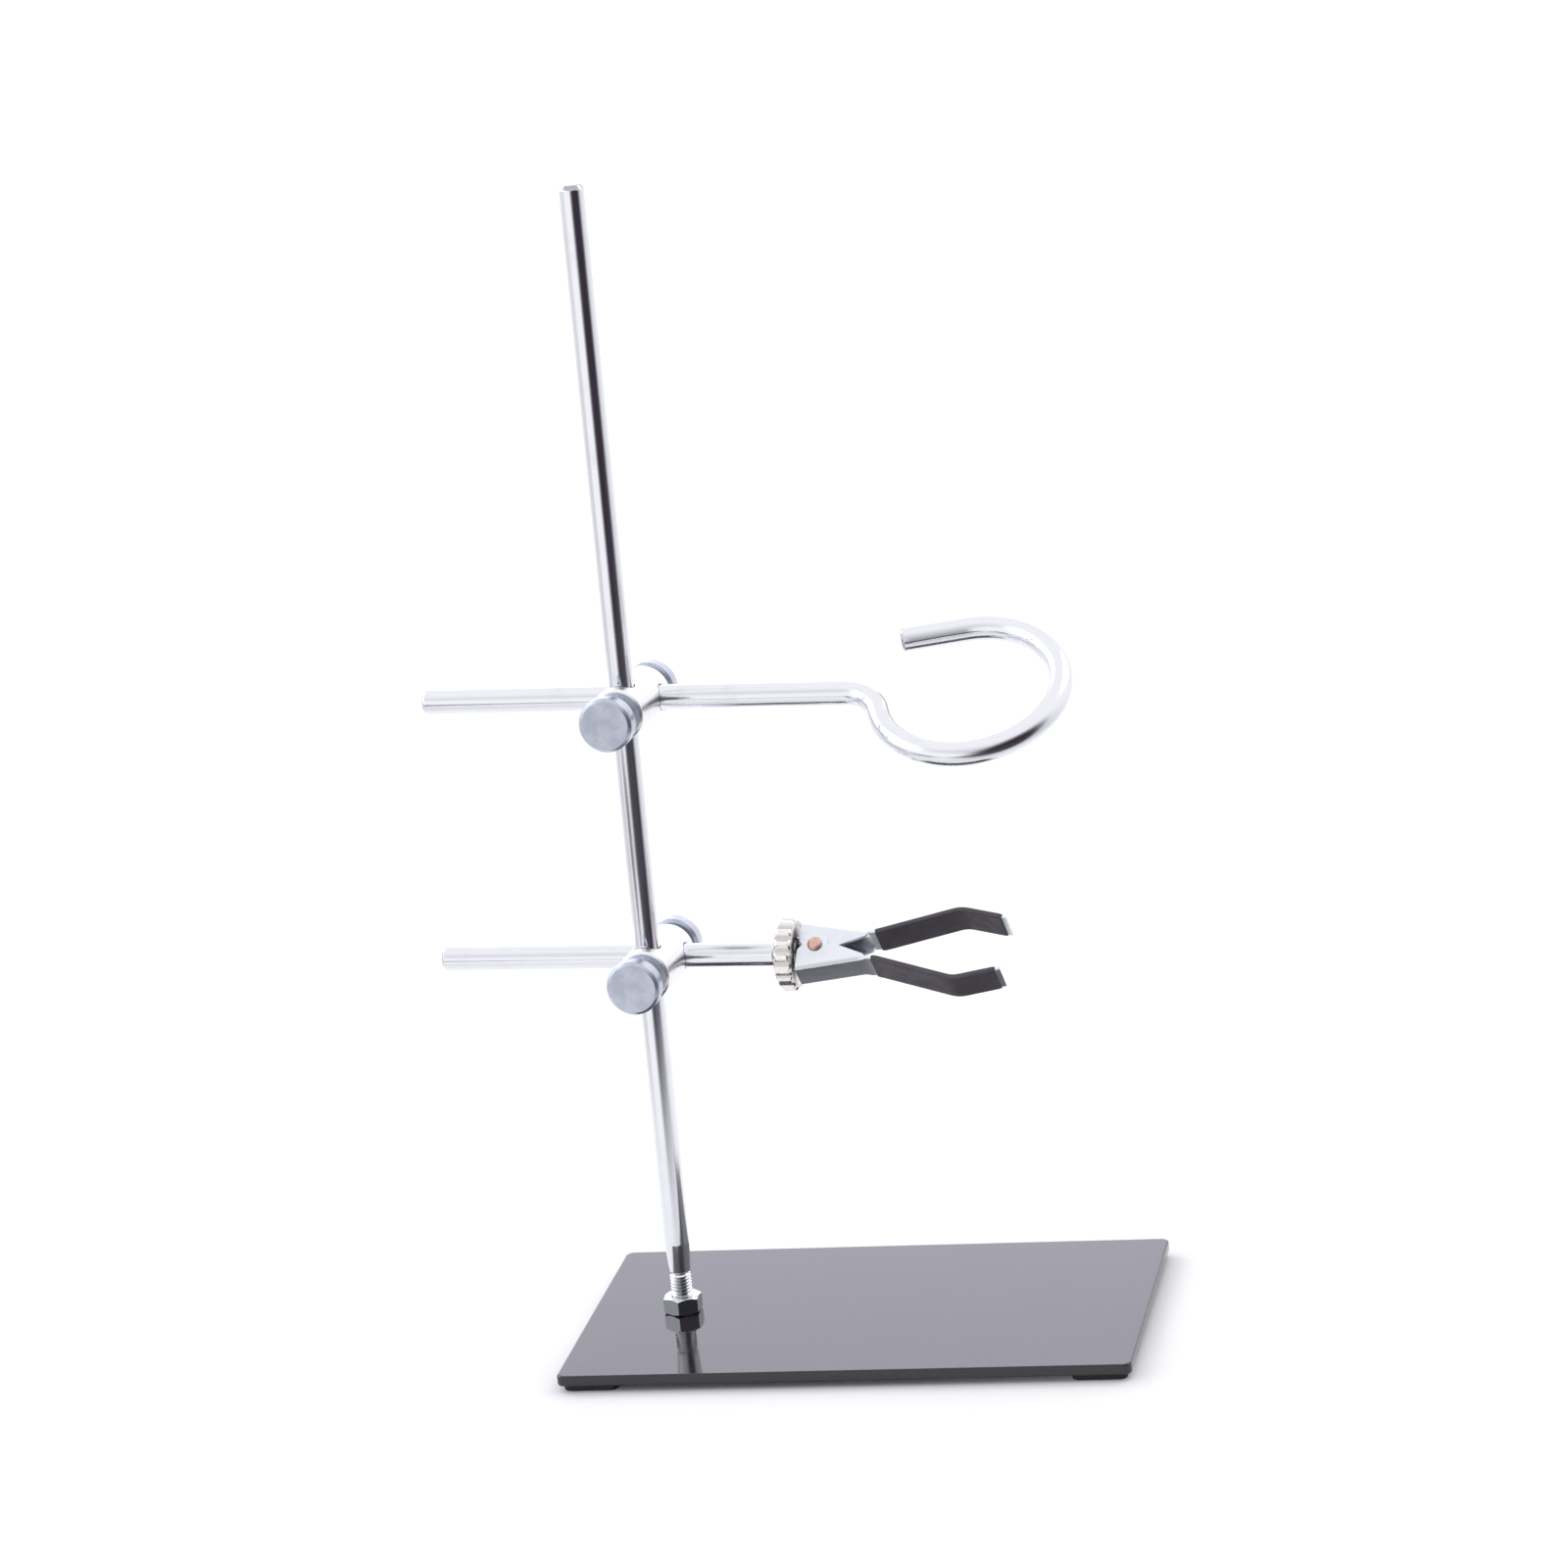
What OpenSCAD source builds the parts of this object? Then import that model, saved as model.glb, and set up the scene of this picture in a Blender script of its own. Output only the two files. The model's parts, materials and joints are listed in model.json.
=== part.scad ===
// Student retort stand: steel base plate with an upright rod, an open ring on one
// boss head and a two-jaw flask clamp on another. Millimetres, +Z up, standing on Z = 0.
// The origin is on the bench, under the middle of the stand's overall width and depth.

/* [Base] */
// Length of the base plate, left to right
plate_length = 210; // [190:1:240]
// Depth of the base plate, front to back
plate_depth = 131; // [120:1:160]
// Thickness of the base plate
plate_thickness = 4; // [3:0.5:6]
// Radius of the plate's corners
plate_corner = 3; // [1:0.5:6]
// Distance from the plate's left edge to the upright's axis
upright_inset = 35; // [30:1:45]
// Side length of a square foot pad
foot_size = 20; // [14:1:24]
// Height of a foot pad
foot_height = 2.5; // [1.5:0.5:4]
// Distance from the plate's edges to a foot pad
foot_inset = 2; // [2:0.5:6]

/* [Upright] */
// Diameter of the upright rod
upright_d = 9.3; // [9:0.1:9.5]
// Height of the upright's top above the plate
upright_height = 423; // [380:1:470]
// Length of the threaded stud that stands out of the plate
stud_length = 16; // [14:1:22]
// Length of the taper between stud and rod
taper_length = 11; // [8:1:14]
// Width across the flats of the lock nut
nut_across_flats = 13; // [13:0.5:14]
// Height of the lock nut
nut_height = 6.5; // [5:0.5:7]
// Turn of the lock nut's flats
nut_turn = 28; // [0:1:59]

/* [Boss heads] */
// Diameter of a boss head's cylindrical body
boss_d = 19.6; // [19:0.1:21]
// Distance between the upright's axis and the arm's axis
bore_gap = 18; // [17:0.5:20]
// Metal from a bore's axis to the nearer end of the body
boss_end = 9; // [8:0.5:11]
// Diameter of a knob
knob_d = 20; // [18:0.5:22]
// Thickness of a knob's disc
knob_thickness = 7; // [6:0.5:9]
// Space between a rod-side knob's disc and the boss body
rod_knob_gap = 7.5; // [2:0.5:9]
// Space between the ring arm's knob and the boss body
ring_knob_gap = 2.5; // [2:0.5:9]
// Space between the clamp arm's knob and the boss body
clamp_knob_gap = 4; // [2:0.5:9]
// Diameter of a thumb screw's shank
screw_d = 6; // [5:0.5:6]

/* [Ring arm] */
// Height of the ring arm's axis above the plate
ring_height = 231.3; // [200:0.1:260]
// Turn of the ring boss about the upright, towards the front
ring_swivel = 5.5; // [0:0.5:10]
// Diameter of the ring arm's wire
ring_wire_d = 9; // [8.5:0.1:9.2]
// Length of the arm to the left of the upright
ring_arm_left = 82.5; // [60:0.5:90]
// Straight length to the right, up to the bend
ring_stem = 78; // [60:0.5:82]
// Radius of the wire's centre line in the ring
ring_radius = 33.3; // [28:0.1:36]
// Radius of the wire's centre line in the bend before the ring
ring_bend_radius = 16; // [12:0.5:20]
// Where the round part of the ring ends, as an angle from the arm's direction
ring_end_angle = 102; // [90:1:110]
// Length of the straight tail after the round part
ring_tail = 23.5; // [10:0.5:26]
// Tilt of the ring about its own arm, back side up
ring_tilt = 28.4; // [0:0.1:45]

/* [Clamp arm] */
// Height of the clamp arm's axis above the plate
clamp_height = 132.7; // [120:0.1:150]
// Turn of the clamp boss about the upright, towards the front
clamp_swivel = 4.5; // [0:0.5:10]
// Diameter of the clamp arm
clamp_arm_d = 9; // [8.5:0.1:9.2]
// Length of the arm to the left of the upright
clamp_arm_left = 85; // [60:0.5:90]
// Distance from the upright's axis to the jaws' rivet
rivet_reach = 59.8; // [58:0.1:70]
// Tilt of the clamp head about its own arm, back side down
clamp_tilt = 46; // [0:1:90]
// Diameter of the fluted clamp nut
clamp_nut_d = 27; // [24:0.5:28]
// Thickness of the fluted clamp nut
clamp_nut_thickness = 6.7; // [5:0.1:8]
// Number of flutes round the clamp nut
flute_count = 16; // [12:1:20]

/* [Jaws] */
// Thickness of the jaws' sheet metal
sheet = 1.2; // [1:0.1:1.5]
// Width of one jaw's channel
jaw_width = 13; // [12:0.5:14]
// Half the height of the clamp head at the jaws' rear edge
tail_rise = 10.4; // [10:0.1:11]
// Half the height of the clamp head where the sleeves start
neck_rise = 6; // [5.5:0.1:6.5]
// Half the opening at the bend of the jaws
bend_rise = 15.3; // [13:0.1:17]
// Half the opening at the tips of the jaws
tip_rise = 11.4; // [10:0.1:13]
// Distance from the rivet to the jaws' tips
jaw_length = 70.5; // [68:0.5:76]
// Thickness of the rubber sleeves
sleeve_wall = 0.5; // [0.4:0.1:1]

/* [Hidden] */
$fn = 64;

// Clearances: shafts in their holes, and rods in the bosses' oversize bores
running = 0.05;
loose = 0.35;
// Space between a thumb screw's tip and the rod that it holds
tip_gap = 0.3;
// Edge breaks on turned ends and rims
chamfer = 0.8;
// Overshoot of a cutting tool beyond the face that it cuts
past = 1;

// Overlap and step in radius where two stretches of the ring arm join
seam_run = 0.3;
seam_step = 0.02;

plate_z = foot_height;
plate_top = foot_height + plate_thickness;
stud_r = 3.95;

// Overall width: from the clamp arm's left end to the plate's right edge
left_reach = clamp_arm_left * cos(clamp_swivel)
    + (clamp_arm_d / 2 - chamfer - bore_gap) * sin(clamp_swivel);
right_reach = plate_length - upright_inset;
upright_x = (left_reach - right_reach) / 2;
plate_x = upright_x - upright_inset;

boss_length = bore_gap + 2 * boss_end;
upright_bore_r = upright_d / 2 + loose;
arm_bore_r = max(ring_wire_d, clamp_arm_d) / 2 + loose;
hub_r = 5.5;
hub_length = 1.5;
knob_socket = 5;

// Ring: the bend and the round part touch where their centre lines are parallel
bend_turn = asin(ring_bend_radius / (ring_radius + ring_bend_radius));
ring_centre = ring_stem
    + sqrt(pow(ring_radius + ring_bend_radius, 2) - pow(ring_bend_radius, 2));

// Clamp head, measured along the arm from the rivet
tail_x = -6.5;
neck_x = 21;
bend_x = 53;
sleeve_start = 21.7;
sleeve_end = jaw_length - 1.8;
thread_end = rivet_reach - 7;
thread_start = thread_end - 9;
clamp_nut_front = rivet_reach + tail_x - 1.1;
flute_r = 2.1;
flute_depth = 1.2;
rivet_r = 1.9;
rivet_head_r = 2.75;
rivet_head_height = 1.1;
flange_gap = 0.2;
outer_flange = (jaw_width + sheet + flange_gap) / 2;
head_half_width = outer_flange + 0.1;
lug_r = 4.8;
tongue_half_width = 2.4;
tongue_half_height = 3.2;
spring_wire_r = 0.3;
spring_coil_r = 3.2;
spring_turns = 1.5;
spring_pitch = 0.72;
spring_leg = 13;

// Outer line of a jaw's sheet, from its rear edge to its tip
jaw_line = [
    [tail_x, tail_rise], [neck_x, neck_rise], [bend_x, bend_rise],
    [jaw_length, tip_rise]
];

// Unit vector from one point to another
function heading(from, to) = (to - from) / norm(to - from);

// Offset of a point on a line towards its right-hand side, mitred at corners
function side_step(line, i, distance) =
    let (last = len(line) - 1)
    let (before = heading(line[max(i - 1, 0)], line[max(i, 1)]))
    let (after = heading(line[min(i, last - 1)], line[min(i + 1, last)]))
    let (sum = before + after)
    let (normal = [sum.y, -sum.x] / norm(sum))
    line[i] + normal * distance / (before * sum / norm(sum));

// Outline of a strip that lies between two offsets of a line
function strip_outline(line, from, to) = concat(
    [for (i = [0 : len(line) - 1]) side_step(line, i, from)],
    [for (i = [len(line) - 1 : -1 : 0]) side_step(line, i, to)]
);

// Point on a polyline at a given x
function point_at(line, x, i = 0) =
    x <= line[i + 1].x || i == len(line) - 2
        ? line[i] + (line[i + 1] - line[i]) * (x - line[i].x) / (line[i + 1].x - line[i].x)
        : point_at(line, x, i + 1);

// Round bar along X from one end to the other, with chamfered ends
module bar_x(from, to, r, start_chamfer = 0, end_chamfer = 0) {
    translate([from, 0, 0]) rotate([90, 0, 90]) rotate_extrude() polygon([
        [0, 0], [r - start_chamfer, 0], [r, start_chamfer],
        [r, to - from - end_chamfer], [r - end_chamfer, to - from], [0, to - from]
    ]);
}

// Part of a torus about Z, between two angles
module bent_bar(radius, wire_r, from, sweep) {
    rotate([0, 0, from]) rotate_extrude(angle = sweep) translate([radius, 0]) circle(wire_r);
}

// Frame of a boss: Z is the upright's axis, X runs along the arm
module on_upright(height, swivel) {
    translate([upright_x, 0, plate_top + height]) rotate([0, 0, -swivel]) children();
}

module ring_boss_frame() {
    on_upright(ring_height, ring_swivel) children();
}

module clamp_boss_frame() {
    on_upright(clamp_height, clamp_swivel) children();
}

// Frame of the clamp head: X along the arm from the rivet, Y along the rivet, Z jaw opening
module clamp_head_frame() {
    clamp_boss_frame() translate([rivet_reach, bore_gap, 0]) rotate([-clamp_tilt, 0, 0])
        children();
}

module rounded_plate(length, depth, corner, thickness) {
    linear_extrude(thickness) union() {
        translate([corner, 0]) square([length - 2 * corner, depth]);
        translate([0, corner]) square([length, depth - 2 * corner]);
        for (x = [corner, length - corner], y = [corner, depth - corner])
            translate([x, y]) circle(corner);
    }
}

module base_plate() {
    color([0.1, 0.1, 0.11]) difference() {
        translate([plate_x, -plate_depth / 2, plate_z])
            rounded_plate(plate_length, plate_depth, plate_corner, plate_thickness);
        translate([upright_x, 0, plate_z - past])
            cylinder(h = plate_thickness + 2 * past, r = stud_r + running);
    }
}

// One rubber pad; column and row choose the corner
module foot_pad(column, row) {
    x = plate_x + (column == 0 ? foot_inset : plate_length - foot_inset - foot_size);
    y = row == 0 ? foot_inset - plate_depth / 2 : plate_depth / 2 - foot_inset - foot_size;
    color([0.06, 0.06, 0.06]) translate([x, y, 0])
        rounded_plate(foot_size, foot_size, plate_corner, foot_height);
}

module base_lock_nut() {
    corner_r = nut_across_flats / sqrt(3);
    bevel = corner_r - nut_across_flats / 2;
    color([0.75, 0.75, 0.76]) translate([upright_x, 0, plate_top]) difference() {
        intersection() {
            rotate([0, 0, nut_turn]) cylinder(h = nut_height, r = corner_r, $fn = 6);
            rotate_extrude() polygon([
                [0, 0], [corner_r - bevel / 2, 0], [corner_r + past, bevel],
                [corner_r + past, nut_height - bevel], [corner_r - bevel / 2, nut_height],
                [0, nut_height]
            ]);
        }
        translate([0, 0, -past]) cylinder(h = nut_height + 2 * past, r = stud_r + running);
    }
}

module upright_rod() {
    r = upright_d / 2;
    stud_top = plate_thickness + stud_length;
    top = plate_thickness + upright_height;
    color([0.72, 0.72, 0.74]) translate([upright_x, 0, plate_z]) rotate_extrude() polygon([
        [0, 0], [stud_r - chamfer, 0], [stud_r, chamfer], [stud_r, stud_top],
        [r, stud_top + taper_length], [r, top - chamfer], [r - chamfer, top], [0, top]
    ]);
}

// Cross-drilled cylinder: one bore for the upright, one for the arm, one screw hole at each end
module boss_body() {
    r = boss_d / 2;
    color([0.82, 0.83, 0.84]) difference() {
        translate([0, -boss_end, 0]) rotate([-90, 0, 0]) rotate_extrude() polygon([
            [0, 0], [r - chamfer, 0], [r, chamfer], [r, boss_length - chamfer],
            [r - chamfer, boss_length], [0, boss_length]
        ]);
        translate([0, 0, -boss_d]) cylinder(h = 2 * boss_d, r = upright_bore_r);
        translate([-boss_d, bore_gap, 0]) rotate([0, 90, 0])
            cylinder(h = 2 * boss_d, r = arm_bore_r);
        translate([0, -boss_end - past, 0]) rotate([-90, 0, 0])
            cylinder(h = boss_end + past, r = screw_d / 2 + running);
        translate([0, bore_gap, 0]) rotate([-90, 0, 0])
            cylinder(h = boss_end + past, r = screw_d / 2 + running);
    }
}

// Frame of a thumb screw: Z points out of the boss, 0 at the end of the body
module screw_frame(end) {
    if (end == "rod")
        translate([0, -boss_end, 0]) rotate([90, 0, 0]) children();
    else
        translate([0, bore_gap + boss_end, 0]) rotate([-90, 0, 0]) children();
}

// Shank whose tip presses on the rod inside the boss
module thumb_screw(rod_r, gap) {
    r = screw_d / 2;
    tip = rod_r + tip_gap - boss_end;
    top = gap + knob_socket;
    color([0.7, 0.7, 0.72]) rotate_extrude() polygon([
        [0, tip], [r - chamfer, tip], [r, tip + chamfer], [r, top], [0, top]
    ]);
}

// Disc knob with a short hub on its inner side
module knob(gap) {
    r = knob_d / 2;
    color([0.66, 0.69, 0.75]) difference() {
        translate([0, 0, gap]) rotate_extrude() polygon([
            [0, -hub_length], [hub_r, -hub_length], [hub_r, 0], [r - chamfer, 0],
            [r, chamfer], [r, knob_thickness - chamfer], [r - chamfer, knob_thickness],
            [0, knob_thickness]
        ]);
        translate([0, 0, gap - hub_length - past])
            cylinder(h = hub_length + past + knob_socket, r = screw_d / 2);
    }
}

// Straight arm, bend, open ring and straight tail, all from one bar. Each stretch runs a
// short way into the thicker one next to it, so that they join as one solid.
module ring_arm() {
    r = ring_wire_d / 2;
    bend_run = seam_run / ring_bend_radius * 180 / PI;
    color([0.86, 0.87, 0.88]) ring_boss_frame() translate([0, bore_gap, 0])
    rotate([ring_tilt, 0, 0]) union() {
        bar_x(-ring_arm_left, ring_stem + seam_run, r - 2 * seam_step,
            start_chamfer = chamfer);
        translate([ring_stem, -ring_bend_radius, 0])
            bent_bar(ring_bend_radius, r - seam_step, bend_turn - bend_run,
                90 - bend_turn + bend_run);
        translate([ring_centre, 0, 0]) {
            bent_bar(ring_radius, r, 180 + bend_turn, 180 + ring_end_angle - bend_turn);
            rotate([0, 0, ring_end_angle]) translate([ring_radius, 0, 0]) rotate([0, 0, 90])
                bar_x(-seam_run, ring_tail, r - seam_step, end_chamfer = chamfer);
        }
    }
}

// Straight arm with a threaded end for the clamp nut
module clamp_arm() {
    r = clamp_arm_d / 2;
    from = -clamp_arm_left;
    color([0.8, 0.81, 0.83]) clamp_boss_frame() translate([from, bore_gap, 0])
    rotate([90, 0, 90]) rotate_extrude() polygon([
        [0, 0], [r - chamfer, 0], [r, chamfer], [r, thread_start - from - chamfer],
        [stud_r, thread_start - from], [stud_r, thread_end - from], [0, thread_end - from]
    ]);
}

module clamp_nut() {
    r = clamp_nut_d / 2;
    color([0.76, 0.74, 0.7]) clamp_boss_frame()
    translate([clamp_nut_front - clamp_nut_thickness, bore_gap, 0]) rotate([90, 0, 90])
    difference() {
        rotate_extrude() polygon([
            [0, 0], [r - chamfer, 0], [r, chamfer], [r, clamp_nut_thickness - chamfer],
            [r - chamfer, clamp_nut_thickness], [0, clamp_nut_thickness]
        ]);
        translate([0, 0, -past])
            cylinder(h = clamp_nut_thickness + 2 * past, r = stud_r + running);
        for (i = [0 : flute_count - 1]) rotate([0, 0, i * 360 / flute_count])
            translate([r - flute_depth + flute_r, 0, -past])
                cylinder(h = clamp_nut_thickness + 2 * past, r = flute_r);
    }
}

// Flat end of the arm that carries the rivet
module clamp_tongue() {
    rear = thread_end + 0.1 - rivet_reach;
    color([0.7, 0.71, 0.73]) clamp_head_frame() translate([0, tongue_half_width, 0])
    rotate([90, 0, 0]) linear_extrude(2 * tongue_half_width) difference() {
        union() {
            translate([rear, -tongue_half_height])
                square([-rear, 2 * tongue_half_height]);
            circle(tongue_half_height);
        }
        circle(rivet_r);
    }
}

module jaw_rivet() {
    color([0.72, 0.38, 0.26]) clamp_head_frame() rotate([-90, 0, 0]) rotate_extrude() polygon([
        [0, -head_half_width - rivet_head_height],
        [rivet_head_r * 0.55, -head_half_width - rivet_head_height],
        [rivet_head_r, -head_half_width - rivet_head_height * 0.4],
        [rivet_head_r, -head_half_width], [rivet_r, -head_half_width],
        [rivet_r, head_half_width], [rivet_head_r, head_half_width],
        [rivet_head_r, head_half_width + rivet_head_height * 0.4],
        [rivet_head_r * 0.55, head_half_width + rivet_head_height],
        [0, head_half_width + rivet_head_height]
    ]);
}

// Centre line of a torsion spring: leg, coil round the rivet, leg. Each entry is a point
// and the direction, as an angle about Y, that faces away from the rivet.
function spring_line() =
    let (near = tongue_half_width + 0.15 + spring_wire_r)
    let (steps = spring_turns * 24)
    let (coil = [for (i = [0 : steps])
        let (angle = -90 - i * 360 / 24)
        [spring_coil_r * cos(angle), near + spring_pitch * i / 24,
            spring_coil_r * sin(angle), angle]])
    concat(
        [[spring_leg, coil[0].y, -spring_coil_r, -90]], coil,
        [[spring_leg, coil[steps].y, spring_coil_r, 90]]
    );

// Round wire swept along a spring's centre line
module spring_wire(line, wire_r, sides = 8) {
    rings = len(line);
    points = [for (p = line, i = [0 : sides - 1])
        let (around = i * 360 / sides)
        [p.x + wire_r * cos(around) * cos(p[3]), p.y + wire_r * sin(around),
            p.z + wire_r * cos(around) * sin(p[3])]];
    skin = [for (ring = [0 : rings - 2], i = [0 : sides - 1])
        let (next = (i + 1) % sides)
        [ring * sides + i, ring * sides + next, (ring + 1) * sides + next,
            (ring + 1) * sides + i]];
    caps = [
        [for (i = [sides - 1 : -1 : 0]) i],
        [for (i = [0 : sides - 1]) (rings - 1) * sides + i]
    ];
    polyhedron(points, concat(skin, caps), convexity = 6);
}

// Two small torsion springs, one on each side of the tongue, that push the jaws open
module jaw_spring() {
    color([0.55, 0.56, 0.6]) clamp_head_frame() {
        spring_wire(spring_line(), spring_wire_r);
        mirror([0, 1, 0]) spring_wire(spring_line(), spring_wire_r);
    }
}

// Side plate of a jaw, between its web and the rivet
module flange_outline() {
    difference() {
        union() {
            polygon([
                [tail_x, tail_rise], [neck_x, neck_rise], [neck_x, neck_rise - sheet],
                [neck_x - 1.6, neck_rise - sheet - 0.4], [8.4, 0.2], [lug_r, 0], [-lug_r, 0],
                [tail_x, 2]
            ]);
            circle(lug_r);
        }
        circle(rivet_r + running);
    }
}

// One jaw as it lies on the positive side: channel at the rear, plain strip in front
module jaw() {
    translate([0, outer_flange, 0]) rotate([90, 0, 0]) {
        linear_extrude(jaw_width) polygon(strip_outline(jaw_line, 0, sheet));
        linear_extrude(sheet) flange_outline();
        translate([0, 0, jaw_width - sheet]) linear_extrude(sheet) flange_outline();
    }
}

// Part of the jaw's line that the sleeve covers
sleeve_line = [
    point_at(jaw_line, sleeve_start), jaw_line[2], point_at(jaw_line, sleeve_end)
];

module sleeve() {
    play = 0.02;
    color([0.13, 0.12, 0.13]) difference() {
        translate([0, outer_flange + sleeve_wall, 0]) rotate([90, 0, 0])
            linear_extrude(jaw_width + 2 * sleeve_wall)
                polygon(strip_outline(sleeve_line, -sleeve_wall, sheet + sleeve_wall));
        translate([0, outer_flange + play, 0]) rotate([90, 0, 0])
            linear_extrude(jaw_width + 2 * play)
                polygon(strip_outline(jaw_line, -play, sheet + play));
    }
}

module upper_jaw() {
    color([0.78, 0.81, 0.88]) clamp_head_frame() jaw();
}

module lower_jaw() {
    color([0.78, 0.81, 0.88]) clamp_head_frame() rotate([180, 0, 0]) jaw();
}

base_plate();
foot_pad(0, 0);  // foot_front_left
foot_pad(1, 0);  // foot_front_right
foot_pad(0, 1);  // foot_rear_left
foot_pad(1, 1);  // foot_rear_right
base_lock_nut();
upright_rod();
ring_boss_frame() boss_body();  // ring_boss_body
ring_boss_frame() screw_frame("rod") thumb_screw(upright_d / 2, rod_knob_gap);  // ring_rod_screw
ring_boss_frame() screw_frame("rod") knob(rod_knob_gap);  // ring_rod_knob
ring_boss_frame() screw_frame("arm") thumb_screw(ring_wire_d / 2, ring_knob_gap);  // ring_arm_screw
ring_boss_frame() screw_frame("arm") knob(ring_knob_gap);  // ring_arm_knob
ring_arm();
clamp_boss_frame() boss_body();  // clamp_boss_body
clamp_boss_frame() screw_frame("rod") thumb_screw(upright_d / 2, rod_knob_gap);  // clamp_rod_screw
clamp_boss_frame() screw_frame("rod") knob(rod_knob_gap);  // clamp_rod_knob
clamp_boss_frame() screw_frame("arm") thumb_screw(clamp_arm_d / 2, clamp_knob_gap);  // clamp_arm_screw
clamp_boss_frame() screw_frame("arm") knob(clamp_knob_gap);  // clamp_arm_knob
clamp_arm();
clamp_nut();
clamp_tongue();
jaw_rivet();
jaw_spring();
upper_jaw();
lower_jaw();
clamp_head_frame() sleeve();  // upper_sleeve
clamp_head_frame() rotate([180, 0, 0]) sleeve();  // lower_sleeve
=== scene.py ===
import json
import math

import bmesh
import bpy
from mathutils import Matrix, Vector


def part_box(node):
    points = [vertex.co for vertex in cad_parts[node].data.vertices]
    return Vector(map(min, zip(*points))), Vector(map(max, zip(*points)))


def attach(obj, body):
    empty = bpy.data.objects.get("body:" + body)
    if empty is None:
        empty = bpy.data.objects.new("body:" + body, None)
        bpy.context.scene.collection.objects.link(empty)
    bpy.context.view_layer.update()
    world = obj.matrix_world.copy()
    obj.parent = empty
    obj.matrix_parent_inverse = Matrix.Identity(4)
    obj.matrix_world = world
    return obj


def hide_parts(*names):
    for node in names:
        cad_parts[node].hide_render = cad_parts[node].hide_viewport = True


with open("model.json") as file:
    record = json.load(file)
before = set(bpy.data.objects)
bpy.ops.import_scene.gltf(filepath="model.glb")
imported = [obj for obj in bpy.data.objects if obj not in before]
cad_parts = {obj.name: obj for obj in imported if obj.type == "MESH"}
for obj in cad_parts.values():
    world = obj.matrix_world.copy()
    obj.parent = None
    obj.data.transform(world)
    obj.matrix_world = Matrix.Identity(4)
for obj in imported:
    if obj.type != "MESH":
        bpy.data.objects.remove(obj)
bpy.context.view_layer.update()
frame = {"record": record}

MM = 0.001
TAU = 2 * math.pi

# ---------------------------------------------------------------- places from the frame

RECORD = frame["record"]
BODY_OF = {node: body for body, nodes in RECORD["behaviour"]["bodies"].items() for node in nodes}
SLOT_OF = {part["node"]: part["material_slot"] for part in RECORD["subparts"]}
JOINTS = {joint["name"]: joint for joint in RECORD["behaviour"]["joints"]}


def joint_point(name):
    return Vector(JOINTS[name]["pos_m"]) / MM


def joint_axis(name):
    return Vector(JOINTS[name]["axis"]).normalized()


def box_mm(node):
    low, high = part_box(node)
    return Vector(low) / MM, Vector(high) / MM


def axes_at(origin, x_axis, y_axis):
    """Frame with its origin and X and Y axes at the given ones."""
    z_axis = x_axis.cross(y_axis)
    place = Matrix((x_axis, y_axis, z_axis)).transposed().to_4x4()
    place.translation = origin
    return place


def along(origin, axis):
    """Frame with its Z axis along the given one."""
    side = Vector((0, 0, 1)) if abs(axis.z) < 0.9 else Vector((0, 1, 0))
    x_axis = axis.cross(side).normalized()
    return axes_at(origin, x_axis, axis.cross(x_axis))


plate_low, plate_high = box_mm("base_plate")
PLATE_TOP = plate_high.z
UPRIGHT = Matrix.Translation(joint_point("upright_turn"))
rod_low, rod_high = box_mm("upright_rod")

ring_axis = joint_axis("ring_arm_turn")
ring_back = joint_axis("ring_arm_screw_turn")
RING_ARM = axes_at(joint_point("ring_arm_turn"), ring_axis, ring_back)
clamp_axis = joint_axis("clamp_arm_slide")
clamp_back = joint_axis("clamp_arm_screw_turn")
HEAD = axes_at(joint_point("upper_jaw_pivot"), clamp_axis, joint_axis("upper_jaw_pivot"))
# From the middle of the clamp arm's bore to the jaws' rivet
RIVET_REACH = 59.8
CLAMP_ARM = axes_at(HEAD.translation - clamp_axis * RIVET_REACH, clamp_axis, clamp_back)

# ---------------------------------------------------------------- shapes, in millimetres


def outline(*corners, steps=4, closed=False):
    """Points of a 2D line through corners given as (x, y) or (x, y, fillet radius)."""
    points = []
    last = len(corners)
    for i, corner in enumerate(corners):
        here = Vector(corner[:2])
        radius = corner[2] if len(corner) == 3 else 0
        if not radius or (not closed and i in (0, last - 1)):
            points.append(here)
            continue
        before = (Vector(corners[i - 1][:2]) - here).normalized()
        after = (Vector(corners[(i + 1) % last][:2]) - here).normalized()
        half = before.angle(after) / 2
        centre = here + (before + after).normalized() * radius / math.sin(half)
        start = here + before * radius / math.tan(half) - centre
        end = here + after * radius / math.tan(half) - centre
        first = math.atan2(start.y, start.x)
        turn = (math.atan2(end.y, end.x) - first + math.pi) % TAU - math.pi
        for k in range(steps + 1):
            angle = first + turn * k / steps
            points.append(centre + Vector((math.cos(angle), math.sin(angle))) * radius)
    return points


def even_angles(steps):
    """Angles of a full turn, with both its ends."""
    return [TAU * i / steps for i in range(steps + 1)]


def lathe(profile, angles=64, shape=None, loop=False):
    """Solid turned about Z. A profile row is (radius, height), or a function of the angle that
    gives them. shape changes a radius by angle. loop joins the last row to the first."""
    if isinstance(angles, int):
        angles = even_angles(angles)
    shell = bmesh.new()
    rows = []
    for entry in profile:
        row = []
        for angle in angles:
            radius, height = entry(angle) if callable(entry) else entry
            if shape:
                radius = shape(angle, radius, height)
            row.append(shell.verts.new((radius * math.cos(angle), radius * math.sin(angle), height)))
        rows.append(row)
    pairs = list(zip(rows, rows[1:])) + ([(rows[-1], rows[0])] if loop else [])
    for low, high in pairs:
        for i in range(len(angles) - 1):
            shell.faces.new((low[i], low[i + 1], high[i + 1], high[i]))
    return shell


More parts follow.
